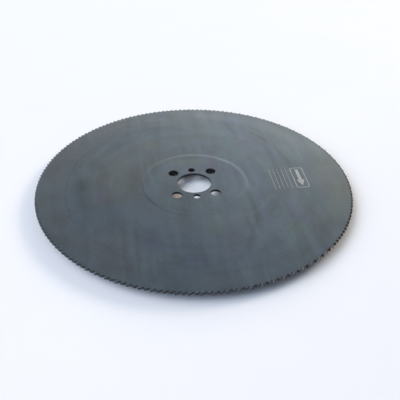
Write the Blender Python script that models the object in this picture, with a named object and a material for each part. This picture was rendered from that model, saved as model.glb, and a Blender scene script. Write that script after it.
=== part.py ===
"""Circular cold-saw blade for metal: a solid disc of high-speed steel, 370 mm across, 3 mm thick.

The blade lies flat on its lower face. The origin is on the bore's axis at the lower face, and +Z is up.
It is one piece of steel: a flat hub seat with a bore and six drive-pin holes, a hollow-ground body and a
rim of teeth with curved backs, whose corners are bevelled on the upper and the lower side in turn.
Lengths are in metres.
"""
from math import atan2, cos, pi, radians, sin, tan

import bmesh
import bpy

MM = 0.001

# Disc
OUTSIDE_DIAMETER = 370 * MM
THICKNESS = 3.0 * MM

# Hub: the flat seat for the machine's flanges, and the ramp from it down to the body
HUB_DIAMETER = 120 * MM
HUB_RAMP = 4 * MM
BORE_DIAMETER = 40 * MM
HOLE_CHAMFER = 0.3 * MM

# Drive-pin holes, evenly spread, with this much steel left between them and the bore. That puts the
# large ones on a 64 mm circle, and the small ones on a 55 mm circle midway between two large ones.
LARGE_PIN_DIAMETER = 12 * MM
LARGE_PIN_WEB = 6 * MM
LARGE_PIN_COUNT = 4
LARGE_PIN_START = radians(45)
SMALL_PIN_DIAMETER = 8 * MM
SMALL_PIN_WEB = 3.5 * MM
SMALL_PIN_COUNT = 2

# Body: ground hollow on each side, deepest beside the hub and running out at the rim's flat margin
HOLLOW_DEPTH = 0.2 * MM
RIM_MARGIN = 4.4 * MM

# Teeth
TOOTH_COUNT = 190
TOOTH_DEPTH = 2.6 * MM
RAKE_ANGLE = radians(18)
RELIEF_ANGLE = radians(8)
TOOTH_LAND = 1.0 * MM
GULLET_RADIUS = 1.2 * MM
CORNER_BEVEL = 0.8 * MM

# A gullet's round is never more than this share of what fits between the tip and the gullet's bottom
GULLET_LIMIT = 0.8

# Seen from above, -1 points the teeth clockwise and 1 anticlockwise
CUT_DIRECTION = -1

# Facets of the round shapes
BORE_SEGMENTS = 80
LARGE_PIN_SEGMENTS = 24
SMALL_PIN_SEGMENTS = 20
GULLET_FRONT_SEGMENTS = 3
GULLET_REAR_SEGMENTS = 1
BACK_SEGMENTS = 3
SMOOTH_ANGLE = radians(40)

# Steel with a dark blue-grey oxide skin
STEEL_COLOUR = (0.115, 0.130, 0.150, 1.0)
STEEL_METALLIC = 0.75
STEEL_ROUGHNESS = 0.42

UPPER = 1
LOWER = -1
HALF = THICKNESS / 2
TIP_RADIUS = OUTSIDE_DIAMETER / 2
MARGIN_RADIUS = TIP_RADIUS - TOOTH_DEPTH - RIM_MARGIN
TOOTH_PITCH = pi * OUTSIDE_DIAMETER / TOOTH_COUNT
SMALL_PIN_START = LARGE_PIN_START + pi / LARGE_PIN_COUNT
HUB_SEGMENTS = TOOTH_COUNT // 2


def clear_scene():
    for thing in list(bpy.data.objects):
        bpy.data.objects.remove(thing, do_unlink=True)


def oxide_skin():
    material = bpy.data.materials.new("oxide_skin")
    material.use_nodes = True
    material.diffuse_color = STEEL_COLOUR
    shader = material.node_tree.nodes["Principled BSDF"]
    shader.inputs["Base Color"].default_value = STEEL_COLOUR
    shader.inputs["Metallic"].default_value = STEEL_METALLIC
    shader.inputs["Roughness"].default_value = STEEL_ROUGHNESS
    return material


def height(side, drop=0.0):
    """Z of a point on the upper or lower face, or a drop below that face towards the middle"""
    return HALF + side * (HALF - drop)


def arc(centre, radius, start, end, segments):
    """Points on an arc, both ends included"""
    angles = [start + (end - start) * i / segments for i in range(segments + 1)]
    return [(centre[0] + radius * cos(a), centre[1] + radius * sin(a)) for a in angles]


def tooth_outline():
    """One tooth from the bottom of the gullet behind it to the bottom of the gullet ahead of it.

    A point is (along, depth): along runs the way the teeth point, from the tooth's tip, and depth is
    measured in from the tips. The rake face leans back from the tip and is tangent to the round gullet
    ahead. The back is a convex arc, tangent to the land behind the tip and to the gullet behind.
    """
    gullet = min(GULLET_RADIUS, GULLET_LIMIT * TOOTH_DEPTH / (1 + sin(RAKE_ANGLE)))
    centre_depth = TOOTH_DEPTH - gullet
    rake_length = (centre_depth - gullet * sin(RAKE_ANGLE)) / cos(RAKE_ANGLE)
    ahead = (gullet * cos(RAKE_ANGLE) - rake_length * sin(RAKE_ANGLE), centre_depth)
    behind = (ahead[0] - TOOTH_PITCH, centre_depth)

    heel = (-TOOTH_LAND, TOOTH_LAND * tan(RELIEF_ANGLE))
    across = heel[0] - behind[0]
    down = heel[1] - behind[1]
    inward = across * sin(RELIEF_ANGLE) + down * cos(RELIEF_ANGLE)
    back = (across ** 2 + down ** 2 - gullet ** 2) / (2 * (gullet - inward))
    back_centre = (heel[0] + back * sin(RELIEF_ANGLE), heel[1] + back * cos(RELIEF_ANGLE))
    meeting = atan2(back_centre[1] - behind[1], back_centre[0] - behind[0])

    rear_gullet = arc(behind, gullet, pi / 2, meeting, GULLET_REAR_SEGMENTS)
    curved_back = arc(back_centre, back, meeting - pi, -pi / 2 - RELIEF_ANGLE, BACK_SEGMENTS)
    front_gullet = arc(ahead, gullet, pi + RAKE_ANGLE, pi / 2, GULLET_FRONT_SEGMENTS)
    return rear_gullet + curved_back[1:] + [(0.0, 0.0)] + front_gullet


def bevelled_spans(outline):
    """The outline on a bevelled side, as a list of points for each of its straight spans.

    The span in which the 45-degree bevel starts or ends has a third point there, at the face.
    """
    spans = []
    for first, second in zip(outline, outline[1:]):
        span = [first, second]
        if (first[1] > CORNER_BEVEL) != (second[1] > CORNER_BEVEL):
            share = (CORNER_BEVEL - first[1]) / (second[1] - first[1])
            span.insert(1, (first[0] + share * (second[0] - first[0]), CORNER_BEVEL))
        spans.append(span)
    return spans


class Blade:
    """The blade's mesh while it is being built"""

    def __init__(self):
        self.mesh = bmesh.new()

    def point(self, radius, angle, z, centre=(0.0, 0.0)):
        return self.mesh.verts.new((centre[0] + radius * cos(angle), centre[1] + radius * sin(angle), z))

    def rim_point(self, tooth, along, depth, z):
        turn = 2 * pi / TOOTH_COUNT * (tooth + along / TOOTH_PITCH)
        return self.point(TIP_RADIUS - depth, CUT_DIRECTION * turn, z)

    def loop(self, points):
        """The edges of a closed loop, which stay sharp"""
        edges = [self.mesh.edges.new((points[i - 1], points[i])) for i in range(len(points))]
        for edge in edges:
            edge.smooth = False
        return edges

    def ring(self, radius, z, segments, centre=(0.0, 0.0)):
        return self.loop([self.point(radius, 2 * pi * i / segments, z, centre) for i in range(segments)])

    def bridge(self, first, second):
        bmesh.ops.bridge_loops(self.mesh, edges=first + second)

    def face(self, points):
        self.mesh.faces.new(points)

    def finish(self):
        bmesh.ops.recalc_face_normals(self.mesh, faces=self.mesh.faces)
        for face in self.mesh.faces:
            face.smooth = True
        for edge in self.mesh.edges:
            if edge.calc_face_angle(0.0) > SMOOTH_ANGLE:
                edge.smooth = False
        data = bpy.data.meshes.new("saw_blade")
        self.mesh.to_mesh(data)
        self.mesh.free()
        return data


def add_hole(blade, diameter, segments, centre=(0.0, 0.0)):
    """A round hole with chamfered mouths: returns the mouth's edges on each side"""
    radius = diameter / 2
    mouths = {}
    throats = {}
    for side in (UPPER, LOWER):
        mouths[side] = blade.ring(radius + HOLE_CHAMFER, height(side), segments, centre)
        throats[side] = blade.ring(radius, height(side, HOLE_CHAMFER), segments, centre)
        blade.bridge(mouths[side], throats[side])
    blade.bridge(throats[UPPER], throats[LOWER])
    return mouths


def add_pin_holes(blade, diameter, web, count, start, segments):
    """Drive-pin holes spread evenly round the bore"""
    reach = (BORE_DIAMETER + diameter) / 2 + web
    mouths = []
    for i in range(count):
        angle = start + 2 * pi * i / count
        mouths.append(add_hole(blade, diameter, segments, (reach * cos(angle), reach * sin(angle))))
    return mouths


def add_hub(blade):
    """The flat seat with its holes, and the ramp down to the body: returns the ramp's foot on each side"""
    holes = [add_hole(blade, BORE_DIAMETER, BORE_SEGMENTS)]
    holes += add_pin_holes(
        blade, LARGE_PIN_DIAMETER, LARGE_PIN_WEB, LARGE_PIN_COUNT, LARGE_PIN_START, LARGE_PIN_SEGMENTS
    )
    holes += add_pin_holes(
        blade, SMALL_PIN_DIAMETER, SMALL_PIN_WEB, SMALL_PIN_COUNT, SMALL_PIN_START, SMALL_PIN_SEGMENTS
    )
    feet = {}
    for side in (UPPER, LOWER):
        seat = blade.ring(HUB_DIAMETER / 2, height(side), HUB_SEGMENTS)
        mouths = [edge for mouth in holes for edge in mouth[side]]
        bmesh.ops.triangle_fill(blade.mesh, edges=seat + mouths, use_beauty=True)
        feet[side] = blade.ring(HUB_DIAMETER / 2 + HUB_RAMP, height(side, HOLLOW_DEPTH), HUB_SEGMENTS)
        blade.bridge(seat, feet[side])
    return feet


def add_tooth(blade, tooth, outline, corners, margin):
    """One tooth and the piece of flat margin under it, bevelled on the upper side if its number is even"""
    bevelled, plain = (UPPER, LOWER) if tooth % 2 == 0 else (LOWER, UPPER)
    following = (tooth + 1) % TOOTH_COUNT

    inner_points = [blade.rim_point(tooth, along, depth, height(plain)) for along, depth in outline[1:-1]]
    plain_side = [corners[plain][tooth]] + inner_points + [corners[plain][following]]
    blade.face(plain_side + [margin[plain][following], margin[plain][tooth]])

    spans = bevelled_spans(outline)
    made = {outline[0]: corners[bevelled][tooth], outline[-1]: corners[bevelled][following]}
    bevelled_side = []
    bevel = []
    for span, first, second in zip(spans, plain_side, plain_side[1:]):
        for place in span:
            if place not in made:
                drop = max(0.0, CORNER_BEVEL - place[1])
                made[place] = blade.rim_point(tooth, place[0], place[1], height(bevelled, drop))
            if place[1] >= CORNER_BEVEL and made[place] not in bevelled_side:
                bevelled_side.append(made[place])
            if place[1] <= CORNER_BEVEL and made[place] not in bevel:
                bevel.append(made[place])
        blade.face([made[place] for place in span] + [second, first])
    blade.face(bevelled_side + [margin[bevelled][following], margin[bevelled][tooth]])
    blade.face(bevel)


def add_rim(blade):
    """All the teeth: returns the edges of the flat margin's inner loop on each side"""
    outline = tooth_outline()
    bottom, depth = outline[0]
    inward = TIP_RADIUS - MARGIN_RADIUS
    corners = {}
    margin = {}
    loops = {}
    for side in (UPPER, LOWER):
        z = height(side)
        corners[side] = [blade.rim_point(tooth, bottom, depth, z) for tooth in range(TOOTH_COUNT)]
        margin[side] = [blade.rim_point(tooth, bottom, inward, z) for tooth in range(TOOTH_COUNT)]
        loops[side] = blade.loop(margin[side])
    for tooth in range(TOOTH_COUNT):
        add_tooth(blade, tooth, outline, corners, margin)
    return loops


def build_blade():
    blade = Blade()
    feet = add_hub(blade)
    margins = add_rim(blade)
    for side in (UPPER, LOWER):
        blade.bridge(feet[side], margins[side])
    thing = bpy.data.objects.new("saw_blade", blade.finish())
    thing.data.materials.append(oxide_skin())
    bpy.context.scene.collection.objects.link(thing)


clear_scene()
build_blade()
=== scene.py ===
"""The looks of the cold saw blade: its finish, its etched mark, the floor, the light and the camera.

The blade is modelled again here at the same sizes as the solid that it stands for, with finer rounds in the
gullets and on the tooth backs. Lengths are in metres and angles in radians, unless a comment gives others.
"""

from math import atan2, cos, pi, radians, sin, sqrt, tan

import bmesh
import bpy
from mathutils import Matrix, Vector


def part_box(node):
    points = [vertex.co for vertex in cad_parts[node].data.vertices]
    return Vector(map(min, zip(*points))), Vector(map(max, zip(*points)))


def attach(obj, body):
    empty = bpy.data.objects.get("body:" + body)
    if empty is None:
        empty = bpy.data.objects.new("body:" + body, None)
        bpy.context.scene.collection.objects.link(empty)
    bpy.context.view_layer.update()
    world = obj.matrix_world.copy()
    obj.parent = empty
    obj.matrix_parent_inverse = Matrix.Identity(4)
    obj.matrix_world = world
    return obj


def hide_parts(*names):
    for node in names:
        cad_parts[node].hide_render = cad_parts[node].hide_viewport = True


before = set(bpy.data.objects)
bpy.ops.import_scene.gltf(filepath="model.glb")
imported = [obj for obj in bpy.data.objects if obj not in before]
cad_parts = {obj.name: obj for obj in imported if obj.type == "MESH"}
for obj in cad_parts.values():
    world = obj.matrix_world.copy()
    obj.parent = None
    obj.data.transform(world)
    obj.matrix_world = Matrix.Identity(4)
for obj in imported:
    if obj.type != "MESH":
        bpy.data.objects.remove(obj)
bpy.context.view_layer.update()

MM = 0.001
UP = Vector((0, 0, 1))

# The blade's box gives its diameter and thickness
lowest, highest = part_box("saw_blade")
TIP_RADIUS = (highest.x - lowest.x) / 2
THICKNESS = highest.z - lowest.z
TOP = highest.z
BOTTOM = lowest.z

# Hub and holes, with the turns of the pin holes in degrees
HUB_RADIUS = 60 * MM
RAMP_WIDTH = 4 * MM
HOLLOW_DEPTH = 0.2 * MM
BORE_RADIUS = 20 * MM
HOLE_CHAMFER = 0.3 * MM
LARGE_PIN_RADIUS = 6 * MM
LARGE_PIN_REACH = 32 * MM
LARGE_PIN_TURNS = (45, 135, 225, 315)
SMALL_PIN_RADIUS = 4 * MM
SMALL_PIN_REACH = 27.5 * MM
SMALL_PIN_TURNS = (90, 270)
BORE_SEGMENTS = 144
LARGE_PIN_SEGMENTS = 64
SMALL_PIN_SEGMENTS = 48

# Teeth, which point clockwise seen from above
TOOTH_COUNT = 190
TOOTH_DEPTH = 2.6 * MM
RAKE_ANGLE = radians(18)
RELIEF_ANGLE = radians(8)
TOOTH_LAND = 1.0 * MM
GULLET_RADIUS = 1.2 * MM
CORNER_BEVEL = 0.8 * MM
RIM_MARGIN = 4.4 * MM
MARGIN_RADIUS = TIP_RADIUS - TOOTH_DEPTH - RIM_MARGIN
TOOTH_TURN = 2 * pi / TOOTH_COUNT
FRONT_GULLET_STEPS = 9
REAR_GULLET_STEPS = 5
BACK_STEPS = 7
MARGIN_STEPS = 2
SMOOTH_ANGLE = radians(30)

# A face whose normal rises or falls more than this is level, and the others are walls, bevels and chamfers
LEVEL_NORMAL = 0.9

# A rake face's normal points at least this much clockwise
RAKE_FACING = 0.8

# The stretch of the rim where a glint is painted, as bright steel, on the rake faces of every other tooth
PAINTED_GLINT_STRETCH = (radians(-100), radians(-43))

# The etched mark: a frame that holds a direction arrow, beside a panel of plain ruled lines
MARK_RISE = 0.02 * MM
MARK_HEIGHT = 0.07 * MM
FRAME_PLACE = Vector((127.3 * MM, -2 * MM, 0))
FRAME_LENGTH = 42 * MM
FRAME_WIDTH = 15.6 * MM
FRAME_ROUND = 2.6 * MM
FRAME_ROUND_SEGMENTS = 6
FRAME_LINE = 0.9 * MM
ARROW_LENGTH = 34 * MM
ARROW_HEAD = 12 * MM
ARROW_HALF_HEAD = 4.6 * MM
ARROW_HALF_SHAFT = 1.9 * MM
RULE_COUNT = 5
RULE_REACH = 94 * MM
RULE_SPACING = 5 * MM
RULE_LINE = 0.4 * MM

# The mark is drawn flat this high above the blade, and then laid on it
DRAWING_LIFT = 1 * MM

# Points closer than this are one point
SAME_PLACE = 0.002 * MM

# The stage: the blade lies a few millimetres clear of the floor, on three pads, with their turns in degrees
FLOOR_DROP = 9 * MM
FLOOR_SIZE = 9.0
PAD_RADIUS = 9 * MM
PAD_REACH = 95 * MM
PAD_TURNS = (30, 150, 270)
PAD_CLEARANCE = 0.02 * MM
PAD_SEGMENTS = 48

# Painted shade on the floor: it darkens this way from the blade's axis on, over this distance and to this
# share
PAINTED_SHADE_WAY = (0.7, -0.7, 0)
PAINTED_SHADE_REACH = 420 * MM
PAINTED_SHADE_SHARE = 0.935

# The camera, with its lens in millimetres
CAMERA_PLACE = Vector((-0.0738, -0.6038, 0.4200))
CAMERA_AIM = Vector((0.0025, -0.0354, TOP))
CAMERA_ROLL = radians(0.87)
FOCAL_LENGTH = 56.0
SENSOR_WIDTH = 36


def turned(place, angle):
    """A place turned anticlockwise about the blade's axis"""
    return Matrix.Rotation(angle, 3, "Z") @ place


def angle_from(first, second):
    """The anticlockwise angle from one flat direction to another"""
    return atan2(first.x * second.y - first.y * second.x, first.x * second.x + first.y * second.y)


def level_radius(place):
    """The distance from the blade's axis"""
    return sqrt(place.x ** 2 + place.y ** 2)


# Modelling


def open_new(name, add, **settings):
    """Adds a primitive with everything else deselected, names it and opens it for editing"""
    bpy.ops.object.select_all(action="DESELECT")
    add(**settings)
    thing = bpy.context.object
    thing.name = name
    thing.data.name = name
    bpy.ops.object.mode_set(mode="EDIT")
    return thing


def reopen(thing):
    bpy.ops.object.select_all(action="DESELECT")
    thing.select_set(True)
    bpy.context.view_layer.objects.active = thing
    bpy.ops.object.mode_set(mode="EDIT")


def close():
    bpy.ops.object.mode_set(mode="OBJECT")


def pick(thing, kind, wanted):
    """Selects the faces or edges for which wanted says yes, and nothing else"""
    bpy.ops.mesh.select_mode(type=kind)
    bpy.ops.mesh.select_all(action="DESELECT")
    mesh = bmesh.from_edit_mesh(thing.data)
    for part in mesh.faces if kind == "FACE" else mesh.edges:
        if wanted(part):
            part.select_set(True)
    mesh.select_flush_mode()
    bmesh.update_edit_mesh(thing.data)


def is_upright(face):
    """Whether a face is a wall, a bevel or a chamfer, and not on one of the blade's two sides"""
    return abs(face.normal.z) < LEVEL_NORMAL


def pick_ring(thing, radius, z, centre=Vector((0, 0, 0))):
    """Selects the edges of the ring of that radius at that height"""

    def on_ring(place):
        return abs(place.z - z) < SAME_PLACE and abs(level_radius(place - centre) - radius) < SAME_PLACE

    pick(thing, "EDGE", lambda edge: all(on_ring(corner.co) for corner in edge.verts))


def extrude_ring(scale, rise, centre=Vector((0, 0, 0))):
    """Extrudes the selected ring of edges, then scales the new ring about a centre and lifts it"""
    bpy.ops.mesh.extrude_region_move(TRANSFORM_OT_translate={"value": (0, 0, rise)})
    bpy.ops.transform.resize(value=(scale, scale, 1), center_override=centre)


def merge_all():
    bpy.ops.mesh.select_mode(type="VERT")
    bpy.ops.mesh.select_all(action="SELECT")
    bpy.ops.mesh.remove_doubles(threshold=SAME_PLACE)


def join(*things):
    """Joins the things into the first one"""
    bpy.ops.object.select_all(action="DESELECT")
    for thing in things:
        thing.select_set(True)
    bpy.context.view_layer.objects.active = things[0]
    bpy.ops.object.join()
    return things[0]


class Outline:
    """A line that is drawn in edit mode from one point, by extruding and by spinning its end"""

    def __init__(self, name, start):
        self.thing = open_new(name, bpy.ops.mesh.primitive_plane_add, size=MM)
        bpy.ops.mesh.select_mode(type="VERT")
        bpy.ops.mesh.select_all(action="SELECT")
        bpy.ops.mesh.merge(type="CENTER")
        bpy.ops.transform.translate(value=start)
        self.end = start

    def line(self, place):
        bpy.ops.mesh.extrude_region_move(TRANSFORM_OT_translate={"value": place - self.end})
        self.end = place

    def arc(self, centre, angle, steps):
        """The end swings anticlockwise about the centre. The operator counts clockwise."""
        bpy.ops.mesh.spin(steps=steps, angle=-angle, center=centre, axis=UP)
        self.end = centre + turned(self.end - centre, angle)


def draw_tooth_outline():
    """One tooth seen from above, its tip on +X, with the strip of flat margin that it stands on.

    The teeth point clockwise, so the gullet ahead of this one is on its -Y side. The rake face leans back
    from the tip into that gullet. The back is a convex arc from the land behind the tip to the next gullet.
    """
    tip = Vector((TIP_RADIUS, 0, BOTTOM))
    down_rake = Vector((-cos(RAKE_ANGLE), sin(RAKE_ANGLE), 0))
    off_rake = Vector((-sin(RAKE_ANGLE), -cos(RAKE_ANGLE), 0))
    beside = Vector((TIP_RADIUS, 0, 0)) + GULLET_RADIUS * off_rake
    centre_reach = TIP_RADIUS - TOOTH_DEPTH + GULLET_RADIUS
    towards = -beside.dot(down_rake)
    rake_length = towards - sqrt(towards ** 2 - beside.length_squared + centre_reach ** 2)
    ahead = beside + rake_length * down_rake
    behind = turned(ahead, TOOTH_TURN)

    heel = Vector((TIP_RADIUS - TOOTH_LAND * tan(RELIEF_ANGLE), TOOTH_LAND, 0))
    under_heel = Vector((-cos(RELIEF_ANGLE), -sin(RELIEF_ANGLE), 0))
    gap = heel - behind
    back_radius = (gap.length_squared - GULLET_RADIUS ** 2) / (2 * (GULLET_RADIUS - gap.dot(under_heel)))
    back_centre = heel + back_radius * under_heel

    floor = BOTTOM * UP
    gullet_bottom = 1 - GULLET_RADIUS / centre_reach
    start = behind * gullet_bottom
    outline = Outline("tooth", start + floor)
    outline.arc(behind + floor, angle_from(-behind, back_centre - behind), REAR_GULLET_STEPS)
    outline.arc(back_centre + floor, angle_from(behind - back_centre, -under_heel), BACK_STEPS)
    outline.line(tip)
    outline.line(tip + rake_length * down_rake)
    outline.arc(ahead + floor, angle_from(-off_rake, -ahead), FRONT_GULLET_STEPS)
    outline.line(ahead.normalized() * MARGIN_RADIUS + floor)
    outline.arc(floor, TOOTH_TURN, MARGIN_STEPS)
    outline.line(start + floor)
    return outline.thing


def make_tooth(bevelled_top):
    """One tooth, with the corner of its upper or its lower face ground off at 45 degrees"""
    tooth = draw_tooth_outline()
    merge_all()
    bpy.ops.mesh.edge_face_add()
    bpy.ops.mesh.extrude_region_move(TRANSFORM_OT_translate={"value": (0, 0, THICKNESS)})
    bpy.ops.mesh.select_all(action="SELECT")
    bpy.ops.mesh.normals_make_consistent(inside=False)

    def on_neighbour(face):
        deepest = TIP_RADIUS - TOOTH_DEPTH + SAME_PLACE
        inside = all(level_radius(corner.co) < deepest for corner in face.verts)
        return inside and is_upright(face)

    pick(tooth, "FACE", on_neighbour)
    bpy.ops.mesh.delete(type="FACE")

    side, slope = (TOP, 1) if bevelled_top else (BOTTOM, -1)
    bpy.ops.mesh.select_all(action="SELECT")
    bpy.ops.mesh.bisect(
        plane_co=(TIP_RADIUS - CORNER_BEVEL, 0, side),
        plane_no=(1, 0, slope),
        use_fill=True,
        clear_outer=True,
    )
    close()
    return tooth


def make_rim():
    """All the teeth: a pair with the bevel above and below, copied round the blade"""
    upper = make_tooth(bevelled_top=True)
    lower = make_tooth(bevelled_top=False)

    # The lower one goes to the next place: it is copied there, and then the first copy is deleted
    reopen(lower)
    bpy.ops.mesh.select_all(action="SELECT")
    bpy.ops.mesh.spin(steps=1, dupli=True, angle=-TOOTH_TURN, center=(0, 0, 0), axis=UP)
    bpy.ops.mesh.select_all(action="INVERT")
    bpy.ops.mesh.delete(type="VERT")
    close()

    rim = join(upper, lower)
    pairs = TOOTH_COUNT // 2
    reopen(rim)
    bpy.ops.mesh.select_all(action="SELECT")
    bpy.ops.mesh.spin(
        steps=pairs - 1,
        dupli=True,
        angle=-2 * TOOTH_TURN * (pairs - 1),
        center=(0, 0, 0),
        axis=UP,
    )
    merge_all()
    close()
    return rim


def hole_list():
    """Each hole's centre, radius and number of segments"""
    holes = [(Vector((0, 0, 0)), BORE_RADIUS, BORE_SEGMENTS)]
    for turns, reach, radius, segments in (
        (LARGE_PIN_TURNS, LARGE_PIN_REACH, LARGE_PIN_RADIUS, LARGE_PIN_SEGMENTS),
        (SMALL_PIN_TURNS, SMALL_PIN_REACH, SMALL_PIN_RADIUS, SMALL_PIN_SEGMENTS),
    ):
        for turn in turns:
            holes.append((turned(Vector((reach, 0, 0)), radians(turn)), radius, segments))
    return holes


def add_body(blade, holes):
    """From the rim's margin inwards on both sides: the hollow-ground body, the ramp and the hub's seat"""
    for side, inwards in ((TOP, -1), (BOTTOM, 1)):
        foot_radius = HUB_RADIUS + RAMP_WIDTH
        foot = side + inwards * HOLLOW_DEPTH
        pick_ring(blade, MARGIN_RADIUS, side)
        extrude_ring(foot_radius / MARGIN_RADIUS, foot - side)
        extrude_ring(HUB_RADIUS / foot_radius, side - foot)
        for centre, radius, segments in holes:
            bpy.ops.mesh.primitive_circle_add(
                vertices=segments,
                radius=radius + HOLE_CHAMFER,
                location=centre + side * UP,
            )

        def round_the_seat(edge):
            level = all(abs(corner.co.z - side) < SAME_PLACE for corner in edge.verts)
            inside = all(level_radius(corner.co) < HUB_RADIUS + SAME_PLACE for corner in edge.verts)
            return level and inside

        pick(blade, "EDGE", round_the_seat)
        bpy.ops.mesh.fill(use_beauty=True)


def open_holes(blade, holes):
    """The chamfered walls of the holes, from the upper mouths down to the lower ones"""
    for centre, radius, _ in holes:
        mouth = radius + HOLE_CHAMFER
        pick_ring(blade, mouth, TOP, centre)
        extrude_ring(radius / mouth, -HOLE_CHAMFER, centre)
        extrude_ring(1, 2 * HOLE_CHAMFER - THICKNESS, centre)
        extrude_ring(mouth / radius, -HOLE_CHAMFER, centre)
    merge_all()


def mark_rings(blade):
    """The edges of the seat, of the ramp's foot and of the margin stay crisp"""
    for side, inwards in ((TOP, -1), (BOTTOM, 1)):
        for radius, drop in ((HUB_RADIUS, 0), (HUB_RADIUS + RAMP_WIDTH, HOLLOW_DEPTH), (MARGIN_RADIUS, 0)):
            pick_ring(blade, radius, side + inwards * drop)
            bpy.ops.mesh.mark_sharp()


def give_finish(thing, material, wanted):
    """Gives the faces for which wanted says yes that material"""
    thing.data.materials.append(material)
    reopen(thing)
    pick(thing, "FACE", wanted)
    thing.active_material_index = len(thing.data.materials) - 1
    bpy.ops.object.material_slot_assign()
    close()


def make_blade(skin, ground, cut, wall):
    """The whole blade as one piece of steel"""
    blade = make_rim()
    blade.name = "finished_blade"
    blade.data.name = "finished_blade"
    holes = hole_list()
    reopen(blade)
    add_body(blade, holes)
    open_holes(blade, holes)
    bpy.ops.mesh.select_all(action="SELECT")
    bpy.ops.mesh.normals_make_consistent(inside=False)
    close()
    bpy.ops.object.shade_smooth_by_angle(angle=SMOOTH_ANGLE)
    reopen(blade)
    mark_rings(blade)
    close()

    def on_rim(face):
        return is_upright(face) and face.calc_center_median().length > MARGIN_RADIUS

    def on_rake(face):
        middle = face.calc_center_median()
        return on_rim(face) and UP.cross(face.normal).dot(middle) > RAKE_FACING * middle.length

    def on_painted_glint_rake(face):
        """The front of every other tooth along one stretch, where a glint is painted in bright steel"""
        middle = face.calc_center_median()
        turn = atan2(middle.y, middle.x)
        in_stretch = PAINTED_GLINT_STRETCH[0] < turn < PAINTED_GLINT_STRETCH[1]
        return on_rake(face) and in_stretch and round(turn / TOOTH_TURN) % 2 == 0

    blade.data.materials.append(skin)
    # Painted shade: the walls of the holes, their chamfers and the rake faces of the teeth are near-black
    give_finish(blade, wall, is_upright)
    give_finish(blade, cut, lambda face: on_rim(face) and not on_rake(face))
    # Painted glint: bright steel on the rake faces of every other tooth along one stretch of the rim only
    give_finish(blade, ground, on_painted_glint_rake)
    return blade


def lay_on(blade, mark):
    """Lowers a flat drawing onto the blade's upper side, and gives it its thickness"""
    reopen(mark)
    bpy.ops.mesh.select_mode(type="FACE")
    bpy.ops.mesh.select_all(action="SELECT")
    bpy.ops.mesh.normals_make_consistent(inside=False)
    close()
    bpy.ops.object.modifier_add(type="SHRINKWRAP")
    wrap = mark.modifiers[-1]
    wrap.target = blade
    wrap.wrap_method = "PROJECT"
    wrap.use_project_z = True
    wrap.use_negative_direction = True
    wrap.use_positive_direction = False
    bpy.ops.object.modifier_apply(modifier=wrap.name)
    reopen(mark)
    bpy.ops.mesh.select_all(action="SELECT")
    bpy.ops.transform.translate(value=(0, 0, MARK_RISE - MARK_HEIGHT))
    bpy.ops.mesh.extrude_region_move(TRANSFORM_OT_translate={"value": (0, 0, MARK_HEIGHT)})
    bpy.ops.mesh.select_all(action="SELECT")
    bpy.ops.mesh.normals_make_consistent(inside=False)
    close()


def make_mark_frame(above):
    """The rounded frame of the mark"""
    mark = open_new("mark_frame", bpy.ops.mesh.primitive_plane_add, size=1, location=FRAME_PLACE + above)
    bpy.ops.transform.resize(value=(FRAME_WIDTH, FRAME_LENGTH, 1))
    bpy.ops.mesh.select_mode(type="VERT")
    bpy.ops.mesh.select_all(action="SELECT")
    bpy.ops.mesh.bevel(offset=FRAME_ROUND, segments=FRAME_ROUND_SEGMENTS, affect="VERTICES")
    bpy.ops.mesh.select_mode(type="FACE")
    bpy.ops.mesh.select_all(action="SELECT")
    bpy.ops.mesh.inset(thickness=FRAME_LINE, use_even_offset=True)
    bpy.ops.mesh.delete(type="FACE")
    close()
    return mark


def make_mark_arrow(above):
    """The arrow that shows which way the blade turns: clockwise seen from above, so towards -Y here"""
    tail = ARROW_LENGTH / 2
    shoulder = ARROW_HEAD - tail
    half = ((ARROW_HALF_SHAFT, tail), (ARROW_HALF_SHAFT, shoulder), (ARROW_HALF_HEAD, shoulder))
    other_half = [(-x, y) for x, y in reversed(half)]
    places = [FRAME_PLACE + above + Vector((x, y, 0)) for x, y in (*half, (0, -tail), *other_half)]
    outline = Outline("mark_arrow", places[0])
    for place in places[1:]:
        outline.line(place)
    bpy.ops.mesh.select_all(action="SELECT")
    bpy.ops.mesh.edge_face_add()
    close()
    return outline.thing


def make_mark_rules(above):
    """Plain lines beside the frame, ruled to note the blade's regrinds on"""
    rules = []
    for number in range(RULE_COUNT):
        place = Vector((RULE_REACH + number * RULE_SPACING, FRAME_PLACE.y, 0)) + above
        rule = open_new("mark_rule", bpy.ops.mesh.primitive_plane_add, size=1, location=place)
        bpy.ops.transform.resize(value=(RULE_LINE, FRAME_LENGTH, 1))
        close()
        rules.append(rule)
    return join(*rules)


def make_mark(blade, etched):
    """The whole mark as one thin skin on the blade's upper side"""
    above = (TOP + DRAWING_LIFT) * UP
    mark = join(make_mark_frame(above), make_mark_arrow(above), make_mark_rules(above))
    mark.name = "etched_mark"
    mark.data.name = "etched_mark"
    lay_on(blade, mark)
    mark.data.materials.append(etched)
    return mark


# Finishes


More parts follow.
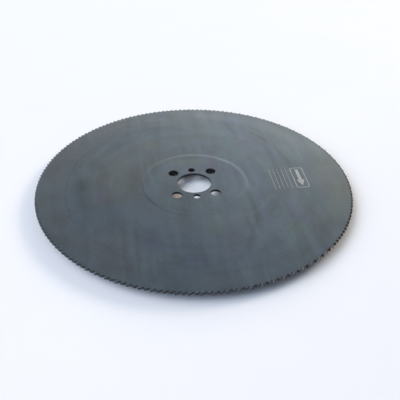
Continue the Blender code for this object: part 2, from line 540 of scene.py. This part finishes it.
class Finish:
    """A material while its nodes are being joined up"""

    def __init__(self, name, colour, metallic, roughness):
        self.material = bpy.data.materials.new(name)
        self.material.use_nodes = True
        self.tree = self.material.node_tree
        self.shader = self.tree.nodes["Principled BSDF"]
        self.shader.inputs["Base Color"].default_value = (*colour, 1)
        self.shader.inputs["Metallic"].default_value = metallic
        self.shader.inputs["Roughness"].default_value = roughness
        self.place = self.node("TexCoord").outputs["Object"]

    def node(self, kind, inputs=(), **settings):
        """Adds a node. An input is given as (its name or number, a value or another node's output)."""
        made = self.tree.nodes.new("ShaderNode" + kind)
        for name, value in settings.items():
            setattr(made, name, value)
        for name, value in inputs:
            if isinstance(value, bpy.types.NodeSocket):
                self.tree.links.new(value, made.inputs[name])
            else:
                made.inputs[name].default_value = value
        return made

    def set(self, name, source):
        """Joins a node's output to one of the shader's own sockets"""
        self.tree.links.new(source, self.shader.inputs[name])

    def number(self, operation, first, second=0.0):
        """One step of arithmetic"""
        return self.node("Math", ((0, first), (1, second)), operation=operation).outputs[0]

    def vector(self, operation, first, second=None):
        """One step of vector arithmetic. SCALE takes a number second."""
        inputs = [(0, first)]
        if second is not None:
            inputs.append(("Scale" if operation == "SCALE" else 1, second))
        made = self.node("VectorMath", inputs, operation=operation)
        return made.outputs["Value" if operation in ("LENGTH", "DOT_PRODUCT") else "Vector"]

    def joined(self, x, y, z):
        """Three numbers as one vector"""
        return self.node("CombineXYZ", (("X", x), ("Y", y), ("Z", z))).outputs[0]

    def stretched(self, scale, turn=0.0, shift=(0, 0, 0)):
        """The object's coordinates, in features of the given number to a metre each way"""
        mapping = self.node(
            "Mapping",
            (("Vector", self.place), ("Scale", scale), ("Rotation", (0, 0, turn)), ("Location", shift)),
        )
        return mapping.outputs[0]

    def ringed(self, flat, across, along):
        """Coordinates for rings in noise, with so many features to a metre across them and along them"""
        parts = self.node("SeparateXYZ", (("Vector", self.place),))
        return self.joined(
            self.number("MULTIPLY", self.vector("LENGTH", flat), across),
            self.number("MULTIPLY", parts.outputs["X"], along),
            self.number("MULTIPLY", parts.outputs["Y"], along),
        )

    def noise(self, vector, detail, roughness=0.5, distortion=0.0, output=0):
        """Noise of one feature to a unit, as numbers or, from its other output, as colours"""
        made = self.node(
            "TexNoise",
            (
                ("Vector", vector),
                ("Scale", 1.0),
                ("Detail", detail),
                ("Roughness", roughness),
                ("Distortion", distortion),
            ),
        )
        return made.outputs[output]

    def spread(self, value, low, high, to_low=0.0, to_high=1.0):
        """A value from low to high, smoothly spread to another range"""
        made = self.node(
            "MapRange",
            ((0, value), (1, low), (2, high), (3, to_low), (4, to_high)),
            interpolation_type="SMOOTHSTEP",
        )
        return made.outputs[0]

    def blend(self, share, first, second):
        """Two colours mixed by a share. The node keeps its colours on inputs 6 and 7 and output 2."""
        colours = [(*colour, 1) if isinstance(colour, tuple) else colour for colour in (first, second)]
        made = self.node("Mix", ((0, share), (6, colours[0]), (7, colours[1])), data_type="RGBA")
        return made.outputs[2]

    def bump(self, height, strength, distance):
        """Relief, given as a height, how strongly it shows and how far it rises"""
        made = self.node("Bump", (("Height", height), ("Strength", strength), ("Distance", distance)))
        self.set("Normal", made.outputs[0])


# Soft patches in the oxide: centre, half length, half width and turn in mm and degrees, and by how many
# levels of 255 each colour rises
PATCHES = (
    (-65, 114, 58, 24, 5, (-4, -1, 0)),
    (-106, 134, 16, 14, 0, (-1, -2, 0)),
    (-58, 93, 18, 15, 0, (3, 1, 0)),
    (-20, 166, 14, 9, 10, (-4, -5, 2)),
    (34, 166, 20, 13, -10, (6, 3, -3)),
    (36, 138, 20, 16, 0, (0, 2, -1)),
    (8, 118, 24, 18, 0, (-2, 1, -1)),
    (12, 85, 10, 12, -20, (-3, -3, 2)),
    (-48, 84, 12, 12, 0, (4, 2, -4)),
    (-40, 56, 14, 10, 40, (4, 1, -4)),
    (58, 84, 34, 9, 88, (-3, 4, 1)),
    (77, 80, 22, 10, 100, (4, -3, 1)),
    (75, 160, 12, 8, -30, (5, 1, 5)),
    (72, 143, 14, 8, -50, (0, 0, 5)),
    (120, 104, 42, 30, -45, (4, 2, -1)),
    (132, 62, 14, 16, 0, (1, 3, -2)),
    (165, 0, 66, 15, 90, (5, 1, -4)),
    (128, 6, 26, 12, 90, (-3, 1, 3)),
    (86, -10, 30, 5, 90, (-4, -1, 4)),
    (70, -24, 30, 5, 90, (-4, -4, 0)),
    (134, -54, 34, 9, 84, (-4, 2, 2)),
    (108, -62, 36, 6, 86, (1, -3, 3)),
    (120, -80, 26, 3, 80, (-5, -5, -4)),
    (98, -110, 26, 9, 70, (-1, 3, -2)),
    (143, -72, 26, 9, 70, (4, 2, -2)),
    (16, -84, 28, 7, 66, (1, 4, -3)),
    (34, -100, 34, 20, 80, (3, -1, 1)),
    (0, -144, 46, 11, 0, (-4, -3, 1)),
    (-20, -112, 34, 14, 0, (-1, -1, 2)),
    (-50, -90, 26, 15, 90, (-2, -1, 3)),
    (-50, -136, 18, 14, 0, (-2, 1, -3)),
    (-92, -118, 38, 26, -40, (3, -1, -1)),
    (-94, -80, 10, 14, 30, (-4, -3, -3)),
    (-92, -52, 16, 14, 0, (-2, 1, 4)),
    (-108, -24, 8, 14, 0, (1, -3, 4)),
    (-8, 48, 20, 8, 0, (5, 2, -4)),
    (27, 42, 14, 9, 70, (0, -7, -1)),
    (42, 32, 12, 5, -50, (-3, -1, 4)),
    (-48, 12, 24, 10, 90, (-1, 2, 3)),
    (-36, -34, 10, 9, 0, (-1, 3, -1)),
    (14, -50, 22, 8, 0, (-3, 1, 3)),
    (54, 12, 16, 6, 90, (0, -4, 3)),
)

# Soft arcs on the skin: their circle's centre and radius, half width, middle and half span in mm and
# degrees, and the levels. Most are lighter and darker arcs in the oxide; the rows marked below paint light
# and shade near the hub and the rim.
ARCS_AND_PAINTED_LIGHT = (
    (0, 0, 90, 28, 172, 27, (6, 2, -2)),
    (0, 0, 128, 8, 168, 36, (-9, -6, -6)),
    (0, 0, 141, 7, 166, 32, (-5, -2, -2)),
    (0, 0, 150, 2, 166, 30, (-8, -7, -6)),
    (-30, 60, 74, 5, 110, 50, (-6, -5, -3)),
    (-30, 40, 118, 3, 112, 34, (5, 5, 5)),
    (0, 0, 170, 16, 180, 52, (3, 0, -1)),
    (0, 0, 172, 13, 70, 60, (3, 1, -1)),
    (-80, -50, 141, 3, -12, 26, (-7, -6, -6)),
    (-80, -50, 151, 4, -10, 22, (5, 4, 5)),
    (-40, 10, 163, 2.5, 26, 20, (-9, -8, -8)),
    (-40, 10, 154, 5, 26, 18, (-4, -5, -1)),
    (160, 150, 100, 3, 184, 18, (-8, -7, -7)),
    (20, 0, 74, 3, -40, 40, (4, 5, 0)),
    # Painted shade: darkens the tooth tops round the near side
    (0, 0, 184.5, 1.4, 285, 90, (-14, -14, -14)),
    # Painted highlight along the edge of the hub's seat on the far right
    (0, 0, 60.6, 0.6, 28, 42, (14, 14, 14)),
    (0, 0, 184.6, 1.2, 60, 110, (-9, -9, -9)),
    # Painted sheen: this row and the next lighten the skin near the rim on the far right
    (0, 0, 168, 12, 50, 28, (10, 7, 9)),
    (0, 0, 168, 10, 76, 18, (4, 3, 3)),
    (0, 0, 100, 14, 345, 22, (-6, -5, -5)),
    # Painted shade: a dark line along the hub's ramp on the near left
    (0, 0, 61.2, 1.3, 200, 24, (-9, -9, -9)),
    # Painted light: lightens the hub's ramp round the near side, against its own shading
    (0, 0, 62.2, 1.9, 270, 42, (13, 13, 13)),
    # Painted highlight along the hub's ramp on the far right, carried on to the near right by the next row
    (0, 0, 63.6, 2.0, 20, 34, (18, 18, 18)),
    (0, 0, 60.5, 4, 338, 14, (5, 5, 5)),
)

# The oxide's mean colour, and about what share of it one level is
OXIDE_COLOUR = (0.0365, 0.0535, 0.0675)
LEVEL = 0.03

# How far the outlines of the patches and of the arcs swing, from one side to the other
PATCH_WANDER = 50 * MM
ARC_WANDER = 8 * MM

# A patch fades out between these shares of its half width, and an arc between these, with its ends between
# these shares of its half span
PATCH_FADE = (0.3, 1.5)
ARC_FADE = (0.2, 1.6)
ARC_END_FADE = (0.5, 1.4)


def add_levels(finish, change, share, levels):
    """A change of colour with a share of some levels added to it"""
    full = tuple(LEVEL * level for level in levels)
    return finish.vector("ADD", change, finish.vector("SCALE", full, share))


def add_patches(finish, change, place):
    for x, y, half_length, half_width, turn, levels in PATCHES:
        shifted = finish.vector("SUBTRACT", place, (x * MM, y * MM, 0))
        mapping = finish.node("Mapping", (("Vector", shifted), ("Rotation", (0, 0, -radians(turn)))))
        size = (1 / (half_length * MM), 1 / (half_width * MM), 0)
        reach = finish.vector("LENGTH", finish.vector("MULTIPLY", mapping.outputs[0], size))
        change = add_levels(finish, change, finish.spread(reach, *PATCH_FADE, 1.0, 0.0), levels)
    return change


def add_arcs(finish, change, place):
    for x, y, radius, half_width, turn, span, levels in ARCS_AND_PAINTED_LIGHT:
        away = finish.vector("SUBTRACT", place, (x * MM, y * MM, 0))
        beyond = finish.number("SUBTRACT", finish.vector("LENGTH", away), radius * MM)
        full, gone = (share * half_width * MM for share in ARC_FADE)
        within = finish.spread(finish.number("ABSOLUTE", beyond), full, gone, 1.0, 0.0)
        towards = (cos(radians(turn)), sin(radians(turn)), 0)
        turned_by = finish.vector("DOT_PRODUCT", finish.vector("NORMALIZE", away), towards)
        inner, outer = (cos(radians(share * span)) for share in ARC_END_FADE)
        along = finish.spread(turned_by, outer, inner)
        change = add_levels(finish, change, finish.number("MULTIPLY", within, along), levels)
    return change


def oxide_tone(finish, place):
    """How light the oxide is, about 1, in streaks that come and go, rings, grain and shades"""

    def swing(noise, most):
        """Noise made a change of up to most either way"""
        return finish.spread(noise, 0.25, 0.75, -most, most)

    streaks = finish.noise(finish.stretched((75, 9, 1), turn=0.05), 3.0, 0.5, 0.4)
    scatter = finish.noise(finish.stretched((16, 10, 1), shift=(5, 9, 0)), 2.0)
    rings = finish.noise(finish.ringed(place, 70.0, 9.0), 3.0, 0.55)
    grain = finish.noise(finish.stretched((500, 260, 1)), 3.0, 0.7)
    shades = finish.noise(finish.stretched((34, 24, 1), shift=(2, 8, 0)), 4.0, 0.6)
    tone = finish.number("MULTIPLY", swing(streaks, 0.24), finish.spread(scatter, 0.4, 0.65, 0.25))
    for part in (swing(rings, 0.10), swing(grain, 0.12), swing(shades, 0.17), 1.0):
        tone = finish.number("ADD", tone, part)
    return tone


def oxide_skin_and_painted_light():
    """Steel with a dark blue-grey oxide skin, cloudy, with faint streaks and the rings of its grinding, and
    with painted highlights, sheen and shade from some of its arcs near the hub and the rim
    """
    finish = Finish("blued_skin_and_painted_light", OXIDE_COLOUR, 0.5, 0.3)
    flat = finish.vector("MULTIPLY", finish.place, (1, 1, 0))
    wander = finish.noise(finish.stretched((30, 30, 1), shift=(7.7, 1.3, 0)), 3.0, output="Color")
    centred = finish.vector("SUBTRACT", wander, (0.5, 0.5, 0.5))

    def strayed(reach):
        """The flat place, swung to and fro over this distance"""
        return finish.vector("ADD", flat, finish.vector("MULTIPLY", centred, (reach, reach, 0)))

    clouds = finish.noise(finish.stretched((14, 14, 1)), 3.0, 0.5, 0.5)
    warmth = finish.blend(finish.spread(clouds, 0.35, 0.65), (-0.035, 0.0, 0.045), (0.035, 0.0, -0.045))
    greens = finish.noise(finish.stretched((60, 26, 1), shift=(3.1, 0.4, 0)), 3.0, 0.6, 0.3)
    tints = finish.blend(finish.spread(greens, 0.3, 0.7), (0.03, -0.03, 0.03), (-0.03, 0.03, -0.03))
    change = finish.vector("ADD", warmth, tints)
    change = add_patches(finish, change, strayed(PATCH_WANDER))
    nearly = strayed(ARC_WANDER)
    change = add_arcs(finish, change, nearly)
    tone = oxide_tone(finish, nearly)
    change = finish.vector("ADD", change, finish.joined(tone, tone, tone))
    finish.set("Base Color", finish.vector("MULTIPLY", change, OXIDE_COLOUR))

    lapping = finish.noise(finish.ringed(flat, 1200.0, 40.0), 2.0, 0.6)
    finish.set("Roughness", finish.spread(clouds, 0.3, 0.7, 0.285, 0.315))
    finish.bump(lapping, strength=0.05, distance=0.01 * MM)
    return finish.material


def etched_steel():
    """Matt grey steel where the etching took the oxide off, worn unevenly"""
    finish = Finish("etched_steel", (0.3, 0.305, 0.31), 0.4, 0.5)
    wear = finish.noise(finish.stretched((700, 500, 700)), 3.0, 0.7)
    tint = finish.blend(finish.spread(wear, 0.35, 0.75), (0.31, 0.315, 0.315), (0.12, 0.13, 0.14))
    grains = finish.noise(finish.stretched((6000, 6000, 6000)), 2.0, 0.6)
    finish.set("Base Color", tint)
    finish.set("Roughness", finish.spread(wear, 0.3, 0.7, 0.42, 0.6))
    finish.bump(grains, strength=0.2, distance=0.02 * MM)
    return finish.material


def glint_steel():
    """Bright steel that paints a glint on the rake faces of every other tooth along one stretch of the rim,
    with the fine lines of the wheel and a trace of oxide
    """
    finish = Finish("glint_steel", (0.4, 0.4, 0.4), 0.5, 0.4)
    lines = finish.noise(finish.stretched((400, 400, 9000)), 2.0, 0.6)
    bright = finish.blend(finish.spread(lines, 0.3, 0.7), (0.46, 0.45, 0.45), (0.34, 0.33, 0.33))
    traces = finish.noise(finish.stretched((900, 900, 900)), 3.0, 0.6)
    finish.set("Base Color", finish.blend(finish.spread(traces, 0.55, 0.8), bright, (0.18, 0.17, 0.16)))
    finish.set("Roughness", finish.spread(lines, 0.3, 0.7, 0.34, 0.48))
    finish.bump(lines, strength=0.2, distance=0.02 * MM)
    return finish.material


def cut_steel():
    """The oxidised backs of the teeth and walls of their gullets, with the fine lines of the wheel"""
    finish = Finish("cut_steel", (0.035, 0.042, 0.052), 0.3, 0.4)
    lines = finish.noise(finish.stretched((300, 300, 6000)), 2.0, 0.5)
    clouds = finish.noise(finish.stretched((500, 500, 500)), 3.0, 0.6)
    tint = finish.blend(finish.spread(clouds, 0.3, 0.7), (0.024, 0.028, 0.034), (0.048, 0.054, 0.062))
    finish.set("Base Color", tint)
    finish.set("Roughness", finish.spread(lines, 0.3, 0.7, 0.34, 0.48))
    finish.bump(lines, strength=0.2, distance=0.02 * MM)
    return finish.material


def painted_shade_wall():
    """The rake faces of the teeth and walls of the holes, oxide darkened nearly to black as painted shade,
    with the fine rings left by the cutter
    """
    finish = Finish("painted_shade_wall", (0.008, 0.009, 0.010), 0.0, 0.5)
    finish.shader.inputs["Specular IOR Level"].default_value = 0.35
    feed = finish.noise(finish.stretched((120, 120, 3500)), 2.0, 0.5)
    clouds = finish.noise(finish.stretched((700, 700, 700)), 3.0, 0.6)
    dark = finish.blend(finish.spread(clouds, 0.3, 0.7), (0.006, 0.007, 0.008), (0.016, 0.017, 0.018))
    finish.set("Base Color", dark)
    finish.set("Roughness", finish.spread(feed, 0.3, 0.7, 0.42, 0.6))
    finish.bump(feed, strength=0.25, distance=0.03 * MM)
    return finish.material


def pale_floor():
    """A pale matt sheet, faintly mottled, with painted shade that darkens it a little towards the near
    right
    """
    finish = Finish("pale_floor", (0.91, 0.90, 0.925), 0.0, 0.8)
    mottle = finish.noise(finish.stretched((9, 9, 1)), 4.0, 0.6)
    tint = finish.blend(finish.spread(mottle, 0.3, 0.7), (0.905, 0.897, 0.920), (0.915, 0.903, 0.930))
    # Painted shade: the colour darkens towards the near right, where the light falls off
    nearer = finish.vector("DOT_PRODUCT", finish.place, PAINTED_SHADE_WAY)
    painted_shade = finish.spread(nearer, 0.0, PAINTED_SHADE_REACH, 1.0, PAINTED_SHADE_SHARE)
    fibres = finish.noise(finish.stretched((900, 700, 1)), 3.0, 0.7)
    finish.set("Base Color", finish.vector("SCALE", tint, painted_shade))
    finish.set("Roughness", finish.spread(fibres, 0.3, 0.7, 0.76, 0.84))
    finish.bump(fibres, strength=0.1, distance=0.05 * MM)
    return finish.material


def pad_rubber():
    """Soft grey rubber with a fine moulded grain"""
    finish = Finish("pad_rubber", (0.35, 0.35, 0.36), 0.0, 0.6)
    grain = finish.noise(finish.stretched((2500, 2500, 2500)), 3.0, 0.6)
    tint = finish.blend(finish.spread(grain, 0.3, 0.7), (0.33, 0.33, 0.34), (0.38, 0.38, 0.39))
    finish.set("Base Color", tint)
    finish.set("Roughness", finish.spread(grain, 0.3, 0.7, 0.5, 0.72))
    finish.bump(grain, strength=0.3, distance=0.05 * MM)
    return finish.material


# Stage


def make_stage():
    """The floor, and the pads that carry the blade, out of sight beneath it"""
    bpy.ops.object.select_all(action="DESELECT")
    bpy.ops.mesh.primitive_plane_add(size=FLOOR_SIZE, location=(0, 0, BOTTOM - FLOOR_DROP))
    floor = bpy.context.object
    floor.name = "floor"
    floor.data.materials.append(pale_floor())
    rubber = pad_rubber()
    height = FLOOR_DROP - 2 * PAD_CLEARANCE
    for turn in PAD_TURNS:
        spot = turned(Vector((PAD_REACH, 0, BOTTOM - FLOOR_DROP / 2)), radians(turn))
        bpy.ops.mesh.primitive_cylinder_add(
            vertices=PAD_SEGMENTS,
            radius=PAD_RADIUS,
            depth=height,
            location=spot,
        )
        pad = bpy.context.object
        pad.name = "pad"
        pad.data.materials.append(rubber)


# Each soft lamp's turn to the right of the far side, its rise and its width across in degrees, its strength
# and its tint
LAMPS = (
    ("high_window", 16, 26, 20, 0.17, (0.90, 0.99, 1.00)),
    ("front_window", 0, 16, 20, 0.19, (1.00, 0.97, 0.86)),
    ("side_window", 30, 16, 20, 0.48, (1.00, 0.74, 0.38)),
    ("warm_lamp", 60, 26, 20, 1.35, (1.00, 0.88, 0.71)),
    ("left_softbox", -90, 40, 55, 1.18, (1.00, 0.90, 0.94)),
    ("near_softbox", -120, 40, 55, 1.31, (0.50, 0.74, 1.00)),
    ("top_softbox", -60, 62, 55, 0.60, (0.81, 0.95, 1.00)),
)

# The faint light from all round, and the backdrop that the camera and the steel see
AMBIENT = 0.248
AMBIENT_TINT = (0.90, 0.93, 1.0)
BACKDROP_TINT = (0.95, 0.97, 1.0)


def make_lamps():
    for name, turn, rise, width, strength, tint in LAMPS:
        lamp = bpy.data.lights.new(name, "SUN")
        lamp.energy = strength
        lamp.angle = radians(width)
        lamp.color = tint
        light = bpy.data.objects.new(name, lamp)
        level = cos(radians(rise))
        towards = Vector((sin(radians(turn)) * level, cos(radians(turn)) * level, sin(radians(rise))))
        light.rotation_mode = "QUATERNION"
        light.rotation_quaternion = towards.to_track_quat("Z", "Y")
        bpy.context.scene.collection.objects.link(light)


def make_world():
    """A faint even light on everything, behind a pale backdrop that the camera and reflections see"""
    world = bpy.data.worlds.new("studio")
    world.use_nodes = True
    tree = world.node_tree
    ambient = tree.nodes["Background"]
    ambient.inputs["Color"].default_value = (*AMBIENT_TINT, 1)
    ambient.inputs["Strength"].default_value = AMBIENT
    backdrop = tree.nodes.new("ShaderNodeBackground")
    backdrop.inputs["Color"].default_value = (*BACKDROP_TINT, 1)
    backdrop.inputs["Strength"].default_value = 1
    path = tree.nodes.new("ShaderNodeLightPath")
    seen = path.outputs["Is Camera Ray"]
    for other in ("Is Glossy Ray", "Is Transmission Ray"):
        either = tree.nodes.new("ShaderNodeMath")
        either.operation = "MAXIMUM"
        tree.links.new(seen, either.inputs[0])
        tree.links.new(path.outputs[other], either.inputs[1])
        seen = either.outputs[0]
    mixed = tree.nodes.new("ShaderNodeMixShader")
    tree.links.new(seen, mixed.inputs[0])
    tree.links.new(ambient.outputs[0], mixed.inputs[1])
    tree.links.new(backdrop.outputs[0], mixed.inputs[2])
    tree.links.new(mixed.outputs[0], tree.nodes["World Output"].inputs["Surface"])
    bpy.context.scene.world = world


def make_camera():
    lens = bpy.data.cameras.new("camera")
    lens.lens = FOCAL_LENGTH
    lens.sensor_width = SENSOR_WIDTH
    camera = bpy.data.objects.new("camera", lens)
    camera.location = CAMERA_PLACE
    camera.rotation_mode = "QUATERNION"
    level = (CAMERA_AIM - CAMERA_PLACE).to_track_quat("-Z", "Y")
    camera.rotation_quaternion = level @ Matrix.Rotation(CAMERA_ROLL, 3, "Z").to_quaternion()
    bpy.context.scene.collection.objects.link(camera)
    bpy.context.scene.camera = camera


make_camera()
make_lamps()
make_world()
make_stage()
blade = make_blade(oxide_skin_and_painted_light(), glint_steel(), cut_steel(), painted_shade_wall())
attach(blade, "root")
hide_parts("saw_blade")
mark = make_mark(blade, etched_steel())
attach(mark, "root")

bpy.context.scene.view_settings.view_transform = "Standard"
